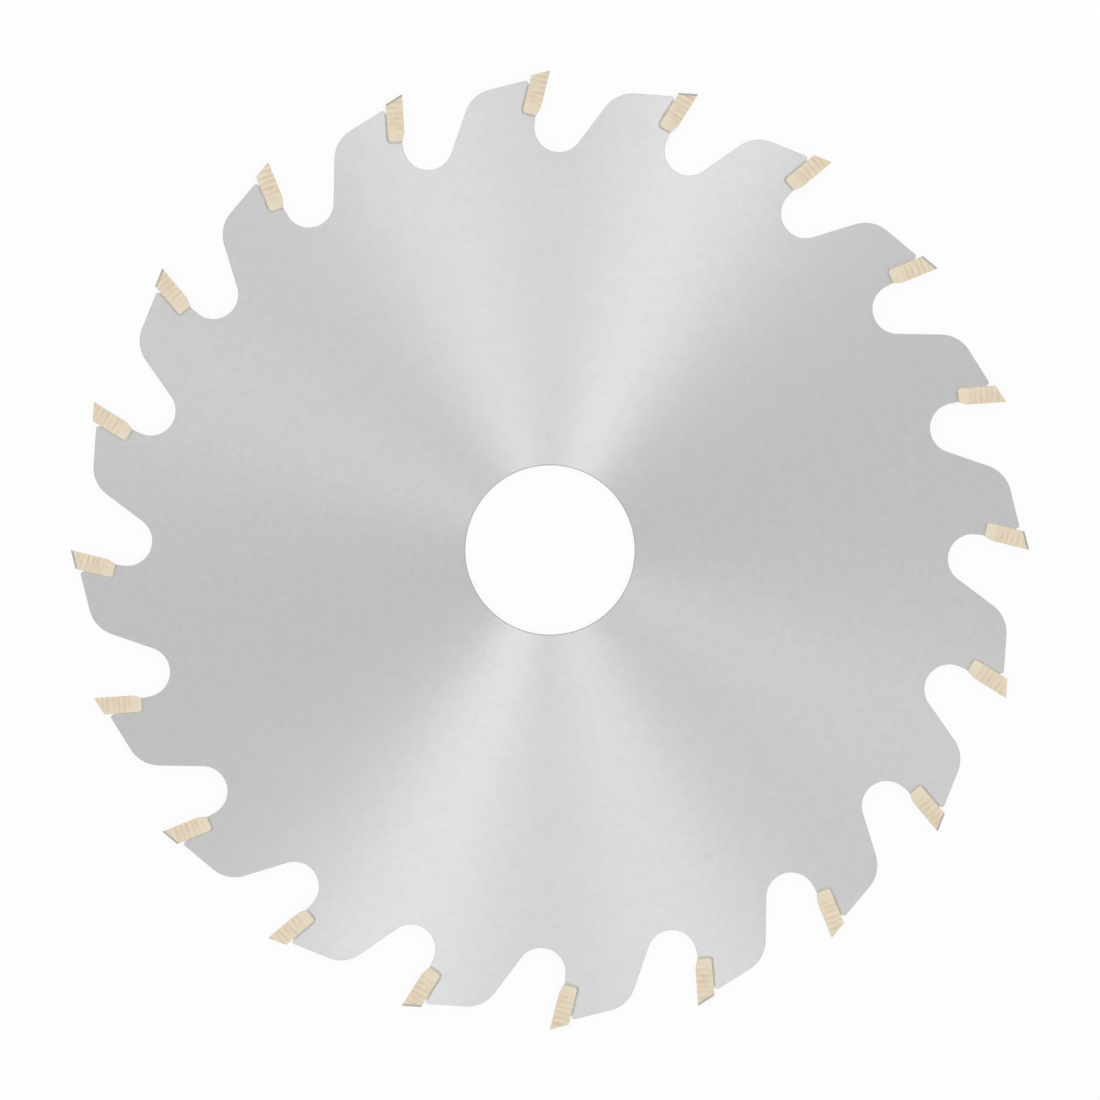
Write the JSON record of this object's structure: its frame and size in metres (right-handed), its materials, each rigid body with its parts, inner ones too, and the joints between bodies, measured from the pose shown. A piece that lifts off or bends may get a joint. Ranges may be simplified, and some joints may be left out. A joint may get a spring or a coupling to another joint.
{
  "type": "circular saw blade",
  "caption": "Flat round saw blade with deep hooked gullets, brazed carbide teeth bevelled left and right by turns, and a plain central bore for the saw's arbor.",
  "frame": {"origin": "centre of the arbor bore, half-way through the plate's thickness", "axes": "+Z along the arbor axis and up, as the blade lies flat; +Y towards the first tooth's cutting edge; the teeth cut clockwise as seen from +Z"},
  "size_m": [0.17, 0.17, 0.0024],
  "materials": {
    "steel": "finely ground in circles about the bore, satin",
    "carbide": "ground tungsten carbide, straw coloured, with faint bands across each tip",
    "solder": "dull grey silver solder"
  },
  "bodies": {
    "root": {"plate": "steel", "tip_01": "carbide", "tip_02": "carbide", "tip_03": "carbide", "tip_04": "carbide", "tip_05": "carbide", "tip_06": "carbide", "tip_07": "carbide", "tip_08": "carbide", "tip_09": "carbide", "tip_10": "carbide", "tip_11": "carbide", "tip_12": "carbide", "tip_13": "carbide", "tip_14": "carbide", "tip_15": "carbide", "tip_16": "carbide", "tip_17": "carbide", "tip_18": "carbide", "tip_19": "carbide", "tip_20": "carbide", "braze_01": "solder", "braze_02": "solder", "braze_03": "solder", "braze_04": "solder", "braze_05": "solder", "braze_06": "solder", "braze_07": "solder", "braze_08": "solder", "braze_09": "solder", "braze_10": "solder", "braze_11": "solder", "braze_12": "solder", "braze_13": "solder", "braze_14": "solder", "braze_15": "solder", "braze_16": "solder", "braze_17": "solder", "braze_18": "solder", "braze_19": "solder", "braze_20": "solder"}
  },
  "joints": []
}
